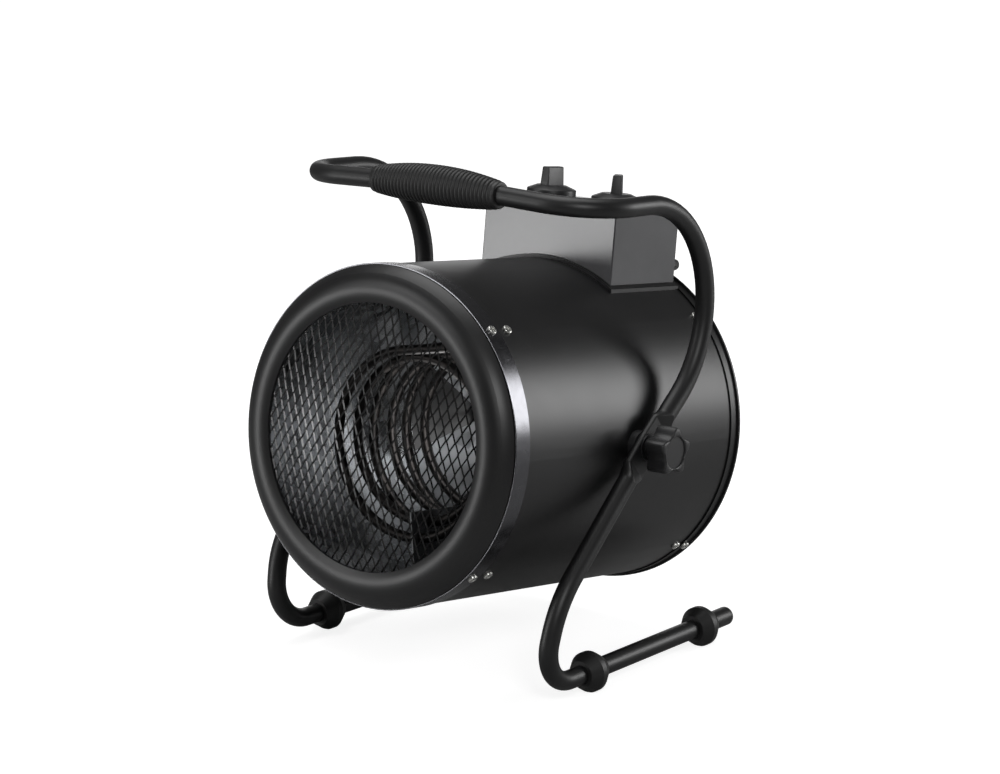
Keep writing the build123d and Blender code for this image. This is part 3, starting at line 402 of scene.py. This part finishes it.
# ------------------------------------------------------------------ outlet grille
def expanded_sheet():
    """Expanded metal: each strand is a flat ribbon that runs down the sheet in a zigzag, by one
    short step down to the right and one down to the left, and leans like a louvre. Neighbours
    are mirror images, so that they meet at the knuckles. The sheet is domed: its depth is
    rim - rise * (1 - (r / R) ** 2)."""
    down_right = np.array([3.3, -8.75])
    down_left = np.array([-5.25, -7.95])
    across = down_right - down_left
    long_way = down_right + down_left
    rim_y, rise, rim_r = -3.9, 9.0, 112.0
    half_wide, half_thick, lean = 0.6, 0.3, radians(52)
    knuckle = 0.096  # share of a step, at each end, where the strand turns through the knuckle
    tuck = 0.9  # share of a leaning strand's half width by which it sits beside the knuckle
    half_columns, diamonds_down = 16, 16
    ease = np.array([0.0, knuckle, 0.5, 1 - knuckle])[:, None]
    shapes = []
    for column in range(-half_columns, half_columns + 1):
        for hand in (1, -1):
            # the zigzag of this ribbon over all its steps, one knot at the head of each diamond
            first, second = (down_right, down_left)[::hand]
            start = across * column - long_way * diamonds_down / 2
            knots = (start + np.arange(diamonds_down)[:, None] * long_way)[:, None, :]
            line = np.stack([knots + ease * first, knots + first + ease * second], 1)
            line = line.reshape(-1, 2) + (hand * half_wide * cos(lean) * tuck, 0)
            ways = np.tile(np.repeat([first, second], len(ease), 0), (diamonds_down, 1))
            ways[::len(ease)] = long_way
            radius = np.hypot(line[:, 0], line[:, 1])
            kept = radius < rim_r
            if kept.sum() < 3:  # no ribbon to speak of inside the rim
                continue
            first_kept, last_kept = np.flatnonzero(kept)[[0, -1]]
            line, ways = line[first_kept:last_kept + 1], ways[first_kept:last_kept + 1]
            ways = ways / np.linalg.norm(ways, axis=1)[:, None]
            radius = np.hypot(line[:, 0], line[:, 1])
            depth = rim_y - rise * (1 - (radius / rim_r) ** 2)
            slope_x = -2 * rise * line[:, 0] / rim_r ** 2
            slope_z = -2 * rise * line[:, 1] / rim_r ** 2
            outward = np.stack([-slope_x, -np.ones(len(line)), -slope_z], 1)
            outward /= np.linalg.norm(outward, axis=1)[:, None]
            sinking = slope_x * ways[:, 0] + slope_z * ways[:, 1]
            along = np.stack([ways[:, 0], sinking, ways[:, 1]], 1)
            along /= np.linalg.norm(along, axis=1)[:, None]
            right = np.cross(along, outward)
            right *= np.sign(right[:, :1])
            wide = right * cos(lean) - outward * sin(lean)
            thick = np.cross(along, wide)
            centre = np.stack([line[:, 0], depth, line[:, 1]], 1)
            ring = np.stack([
                centre + wide * half_wide + thick * half_thick,
                centre - wide * half_wide + thick * half_thick,
                centre - wide * half_wide - thick * half_thick,
                centre + wide * half_wide - thick * half_thick,
            ], 1)
            shapes.append(closed_ends(ring))
    return shapes


made("outlet_grille", expanded_sheet(), drum_to_shared, "heater", "black_mesh",
     ["front_grille"], sharp=50)


# ------------------------------------------------------------------ handle grip
def ribbed_grip():
    """Turned about the handle: 33 round ribs on a barrel, r = barrel(x) + rise * |sin(pi x /
    pitch)| ** plump with x from the first groove, where barrel(x) = mid - (mid - end) *
    |x / half| ** belly with x from the middle, between two smooth cuffs that fold in over the
    tube."""
    half, pitch, ribs = 64.7, 3.75, 33
    end_r, mid_r, rise, bore = 10.2, 15.3, 1.15, 8.05
    belly, plump = 2.1, 0.6
    steps_per_rib = 10
    ribbed = pitch * ribs / 2
    x = np.linspace(-ribbed, ribbed, ribs * steps_per_rib + 1)
    barrel = mid_r - (mid_r - end_r) * np.abs(x / half) ** belly
    rib = rise * np.abs(np.sin(pi * (x + ribbed) / pitch)) ** plump
    profile = np.stack([barrel + rib, x], 1)
    cuff_r, groove_r, cuff_edge = end_r + 0.9, barrel[0] + 0.5, 1.2
    cuff_low = filleted([(bore, -half), (cuff_r, -half), (groove_r, -ribbed)], [0, cuff_edge, 0], 4)
    cuff_high = cuff_low[::-1] * (1, -1)
    inner = np.array([(bore, half * 0.98), (bore, -half * 0.98)])  # just inside the open ends
    return turned(np.concatenate([cuff_low, profile[1:-1], cuff_high, inner]), around=72)


CORNER = np.array([155.5, -85.0, 207.5])  # handle's corner, from the pivot
APEX = np.array([0.0, -85.0, 212.9])  # where the bar's two slopes would meet
ARCH_R = 1200.0  # the bar's slopes are joined by an arc of this radius


def along_bar(shape):
    """Sinks each point by the bar's own fall from the apex at the same x: an arc of radius R,
    R - sqrt(R ** 2 - x ** 2), that goes on as a slope of angle a from R sin(a) outward, both
    lower than the apex by R (1 / cos(a) - 1) at the middle."""
    points, faces = shape
    a = atan2(APEX[2] - CORNER[2], CORNER[0])
    apex_cut = ARCH_R * (1 / cos(a) - 1)
    x = np.abs(points[:, 0])
    arc = ARCH_R - np.sqrt(ARCH_R ** 2 - x ** 2)
    slope = x * tan(a) - apex_cut
    points[:, 2] -= np.where(x < ARCH_R * sin(a), arc, slope) + apex_cut
    return points, faces


grip = along_bar(placed(ribbed_grip(), APEX, (0, 1, 0), (1, 0, 0)))
made("ribbed_grip", [grip], stand_to_shared, "stand", "black_rubber", ["handle_grip"], sharp=60)


# ------------------------------------------------------------------ stand tube
def bent_tube():
    """One tube from foot end to handle middle, mirrored. Its section is a circle of radius 8,
    (8 cos t, 8 sin t). Near the pivot it is pressed: the first part is cut off at +-h, where h
    rises in a straight ramp from 3 to 8 between 23 and 35 mm from the pivot, and the second is
    widened from 8 to 13 by a smooth step over the same length."""
    radius, drop = 8.0, 176.25  # drop: from the pivot down to the foot tubes' axis
    pressed_half, pressed_half_wide = 3.0, 13.0
    ramp_from, ramp_long = 23.0, 12.0
    fine_reach, fine_step = 44.0, 0.5  # rings this close together up to this far from the pivot
    elbow_drop = 12.0  # the handle's corner begins this far below its own height
    around = 48
    right = np.array([
        (139.0, 129.0, -drop), (142.0, -133.4, -drop), (148.5, -117.4, 71.0 - drop),
        (148.5, 0.0, 0.0), (148.5, 233.5, 183.7), CORNER])
    bends = [0, 33, 80, 100, 94, 50, ARCH_R, 50, 0]
    route = filleted(np.concatenate([right, [APEX], right[:-3:-1] * (-1, 1, 1)]), bends, 28)
    route = route[route[:, 0] > -0.01]
    # short steps along the pressed stretch
    walked = np.concatenate([[0], np.cumsum(np.linalg.norm(np.diff(route, axis=0), axis=1))])
    at_pivot = walked[np.argmin(np.linalg.norm(route - right[3], axis=1))]
    near_pivot = at_pivot + np.arange(-fine_reach, fine_reach + fine_step, fine_step)
    stops = np.unique(np.round(np.concatenate([walked, near_pivot]), 1))
    line = np.stack([np.interp(stops, walked, route[:, k]) for k in range(3)], 1)
    way = np.gradient(line, stops, axis=0)
    way[-1] = (-1, 0, 0)
    way /= np.linalg.norm(way, axis=1)[:, None]
    # the section's first direction is +X, and +X tipped towards the last leg where the tube
    # itself turns to X
    x_way = np.array([1.0, 0, 0])
    last_leg = (CORNER - right[4]) / np.linalg.norm(CORNER - right[4])
    past_elbow = (line[:, 2] > CORNER[2] - elbow_drop) & (line[:, 1] < 0)
    guide = np.where(past_elbow[:, None], x_way + last_leg, x_way)
    side = guide - (guide * way).sum(1)[:, None] * way
    side /= np.linalg.norm(side, axis=1)[:, None]
    flat = np.cross(way, side)
    from_pivot = np.linalg.norm(line - right[3], axis=1)
    ramp = np.clip((from_pivot - ramp_from) / ramp_long, 0, 1)[:, None]
    cut = pressed_half + (radius - pressed_half) * ramp
    smooth_step = ramp * ramp * (3 - 2 * ramp)
    half_wide = pressed_half_wide + (radius - pressed_half_wide) * smooth_step
    t = np.arange(around) * 2 * pi / around
    u = np.clip(radius * np.cos(t), -cut, cut)
    v = half_wide * np.sin(t)
    half = line[:, None] + u[..., None] * side[:, None] + v[..., None] * flat[:, None]
    whole = np.concatenate([half, half[-2::-1] * (-1, 1, 1)])
    return closed_ends(whole)


made("bent_stand_tube", [bent_tube()], stand_to_shared, "stand", "satin_black_tube",
     ["stand_tube"], sharp=60)


# ------------------------------------------------------------------ star knobs
# the tube's axis, half its pressed thickness, a gap, the washer and another gap
STAR_BASE = 148.5 + 3.0 + 0.1 + 1.2 + 0.1


def star_knob():
    """Five lobed knob: rings of radius core + (tip - core) * ((1 + cos 5t) / 2) ** 1.5, set in or
    out by each row's amount, with a round neck below and a round recess in its face."""
    around, lobes, first_lobe = 120, 5, radians(18)
    core, tip, point = 14.9, 20.5, 1.5
    t = np.arange(around) * 2 * pi / around
    star = core + (tip - core) * ((1 + np.cos(lobes * (t - first_lobe))) / 2) ** point
    rows = [  # share of star outline, circle radius, set in from the outline, height
        # bore and neck
        (0, 4.1, 0, 0.0), (0, 9.9, 0, 0.0), (0, 10.5, 0, 0.6), (0, 10.5, 0, 6.2),
        # underside and lower edge of the lobes
        (0.2, 10.6, 0.9, 6.9), (1, 0, 1.3, 7.0), (1, 0, 0.4, 7.3), (1, 0, 0, 8.1),
        # their sides, with a little draft, and the rounded upper edge
        (1, 0, 0.0, 16.0), (1, 0, 0.2, 23.6), (1, 0, 0.45, 24.8), (1, 0, 1.0, 25.5),
        (1, 0, 1.7, 25.8),
        # face and recess
        (0.12, 13.9, 0, 25.8), (0, 13.3, 0, 25.6), (0, 13.0, 0, 25.2), (0, 13.0, 0, 22.8),
        (0, 4.1, 0, 22.8),
    ]
    share, circle, inset, height = np.array(rows, float).T[:, :, None]
    r = share * (star - inset) + (1 - share) * circle
    grid = np.stack([r * np.cos(t), r * np.sin(t), np.repeat(height, len(t), 1)], -1)
    return grid.reshape(-1, 3), [quads(len(rows), len(t), wrap_rows=True)]


for way, side in ((1, "right"), (-1, "left")):
    knob = placed(star_knob(), (way * STAR_BASE, PIVOT_DEPTH, PIVOT_UP), (0, way, 0), (way, 0, 0))
    made(f"star_knob_{side}", [knob], drum_to_shared, f"clamp_{side}", "black_plastic",
         [f"clamp_knob_{side}"], sharp=50)


# ------------------------------------------------------------------ rotary knobs
def rounded_bar(length, width, corner, rows):
    """A bar on its edge: rounded rectangles, stacked by rows of (set in, height), whose corners
    get tighter by a share of what they are set in, closed by fans."""
    tighter, tightest = 0.3, 0.15
    t = np.linspace(0, pi / 2, 6)
    rings = []
    for inset, height in rows:
        x, y, r = length / 2 - inset, width / 2 - inset, max(corner - inset * tighter, tightest)
        arc = np.stack([r * np.cos(t), r * np.sin(t)], 1)
        quarters = [
            arc + (x - r, y - r),
            arc[::-1] * (-1, 1) + (r - x, y - r),
            arc * (-1, -1) + (r - x, r - y),
            arc[::-1] * (1, -1) + (x - r, r - y),
        ]
        ring = np.concatenate(quarters)
        rings.append(np.column_stack([ring, np.full(len(ring), height)]))
    return closed_ends(np.array(rings))


def rotary_knob():
    """Round skirt with a rolled rim, a low cone, and a tapered bar that the fingers turn: a
    profile of (radius, height) turned about the spindle, and the bar on it."""
    skirt = filleted(
        [(0, 0), (21.2, 0), (21.2, 7.0), (12.6, 10.5), (0, 10.5)], [0, 0.6, 1.4, 1.5, 0], 5)
    bar = rounded_bar(22.5, 8.9, 0.9, [
        (0, 9.0), (0, 10.6), (0.75, 24.9), (0.95, 25.7), (1.35, 26.05), (1.9, 26.15)])
    return [turned(skirt, around=96, poles=True), bar]


KNOB_DEPTH, KNOB_BASE = 254.75, 186.8  # spindles' depth, and the skirts' height over the axis


def knob_on_box(x, turn, name, body, node_name):
    """Puts a rotary knob on the box top, its bar at this angle seen from above."""
    origin, bar_way = (x, KNOB_DEPTH, KNOB_BASE), (cos(radians(turn)), sin(radians(turn)), 0)
    shapes = [placed(shape, origin, bar_way, (0, 0, 1)) for shape in rotary_knob()]
    made(name, shapes, drum_to_shared, body, "black_plastic", [node_name], sharp=40)


knob_on_box(-34.45, 90.0, "selector_knob_moulding", "selector", "selector_knob")
knob_on_box(34.45, 122.0, "thermostat_knob_moulding", "thermostat_dial", "thermostat_knob")


# ------------------------------------------------------------------ screws
def pan_head_screw():
    """Pan head with a cross recess. Its top is crown - flat * r ** 2 up to the shoulder, and
    from there a quarter of an ellipse down to the rim. Less the recess: two crossed slots, whose
    depth fades in at their edges, by slot(u, v) = clip((half_slot - |v|) / side_fade) *
    clip((half_long - |u|) / end_fade). Shank below."""
    around, head_r, shoulder, shank_r, shank_end = 48, 4.0, 3.2, 2.0, -7.0
    crown, flat, rim_drop = 2.4, 0.03, 1.4
    half_slot, side_fade, half_long, end_fade, deep = 0.62, 0.25, 2.3, 0.4, 1.2
    t = np.arange(around) * 2 * pi / around
    r = np.array([
        0.25, 0.5, 0.75, 1.0, 1.3, 1.6, 1.9, 2.15, 2.4, 2.8, shoulder, 3.55, 3.82, 3.96, head_r,
    ])[:, None]
    out = np.clip((r - shoulder) / (head_r - shoulder), 0, 1)
    height = crown - flat * np.minimum(r, shoulder) ** 2 - (1 - np.sqrt(1 - out ** 2)) * rim_drop
    x, y = r * np.cos(t), r * np.sin(t)

    def slot(u, v):
        """One slot along u: 1 inside it, fading to 0 at its edges."""
        inside = np.clip((half_slot - np.abs(v)) / side_fade, 0, 1)
        return inside * np.clip((half_long - np.abs(u)) / end_fade, 0, 1)

    height = height - deep * np.maximum(slot(x, y), slot(y, x))
    head = np.stack([x, y, height], -1)[::-1]
    ring = np.stack([np.cos(t), np.sin(t), np.zeros_like(t)], -1)
    shank = [ring * (shank_r, shank_r, 0) + (0, 0, h) for h in (shank_end, -0.02)]
    under_head = [ring * (head_r, head_r, 0)]
    middle = np.array([0, 0, crown - deep])
    return closed_ends(np.concatenate([np.array(shank + under_head), head]), last=middle)


def screws(name, rows, nodes):
    """Screws at each depth and radius, at the four angles between the drum's axes. Each is
    turned on from the one before, because no two are driven home at the same angle."""
    turn_on = 0.7  # radians
    along = np.array([0, 1.0, 0])
    shapes = []
    spin = 0.0
    for depth, r in rows:
        for angle in (45, 135, 225, 315):
            a, spin = radians(angle), spin + turn_on
            out = np.array([cos(a), 0, sin(a)])
            x_way = along * cos(spin) + np.cross(out, along) * sin(spin)
            shapes.append(placed(pan_head_screw(), (r * cos(a), depth, r * sin(a)), x_way, out))
    made(name, shapes, drum_to_shared, "heater", "zinc", nodes, sharp=35)


screws("front_pan_head_screws", ((12.5, 140.2), (33.2, 139.2)), ["front_screws"])
screws("rear_pan_head_screws", ((293.4, 139.2), (305.6, 140.4)), ["rear_screws"])


# ------------------------------------------------------------------ floor and daylight
WHITE = (1, 1, 1, 1)
FLOOR_HALF = 9  # metres

floor_mesh = bpy.data.meshes.new("floor")
floor_mesh.from_pydata([
    (-FLOOR_HALF, -FLOOR_HALF, 0), (FLOOR_HALF, -FLOOR_HALF, 0),
    (FLOOR_HALF, FLOOR_HALF, 0), (-FLOOR_HALF, FLOOR_HALF, 0)], [], [(0, 1, 2, 3)])
floor = bpy.data.objects.new("floor", floor_mesh)
bpy.context.scene.collection.objects.link(floor)
floor_paint, floor_tree = finish_named("pale_studio_floor")
# the eye sees the floor fade to white about a metre from the object, reflections see it as lit
floor_place = add(floor_tree, "ShaderNodeTexCoord")
floor_away = add(floor_tree, "ShaderNodeVectorMath", settings={"operation": "LENGTH"},
                 links={"Vector": (floor_place, "Object")})
floor_fade = add(floor_tree, "ShaderNodeMapRange",
                 values={"From Min": 0.3, "From Max": 1.0, "To Min": 0.85, "To Max": 1.0},
                 links={"Value": (floor_away, "Value")})
floor_board = add(floor_tree, "ShaderNodeBsdfDiffuse", values={"Color": linear("#b4b4b4")})
floor_glow = add(floor_tree, "ShaderNodeEmission", values={"Color": WHITE},
                 links={"Strength": (floor_fade, 0)})
floor_both = add(floor_tree, "ShaderNodeAddShader",
                 links={0: (floor_board, "BSDF"), 1: (floor_glow, "Emission")})
floor_seen_by = add(floor_tree, "ShaderNodeLightPath")
floor_seen = add(floor_tree, "ShaderNodeMixShader",
                 links={0: (floor_seen_by, "Is Camera Ray"), 1: (floor_board, "BSDF"),
                        2: (floor_both, 0)})
add(floor_tree, "ShaderNodeOutputMaterial", links={"Surface": (floor_seen, 0)})
floor_mesh.materials.append(floor_paint)

world = bpy.data.worlds.new("studio")
bpy.context.scene.world = world
world.use_nodes = True
world_tree = world.node_tree
world_tree.nodes.clear()
seen_by = add(world_tree, "ShaderNodeLightPath")
# the camera sees a white backdrop, and the object is lit by a dim room
backdrop = add(world_tree, "ShaderNodeBackground", values={"Color": WHITE, "Strength": 1.0})
room = add(world_tree, "ShaderNodeBackground", values={"Color": WHITE, "Strength": 0.12})
view_mix = add(world_tree, "ShaderNodeMixShader",
               links={0: (seen_by, "Is Camera Ray"), 1: (room, 0), 2: (backdrop, 0)})
add(world_tree, "ShaderNodeOutputWorld", links={"Surface": (view_mix, 0)})
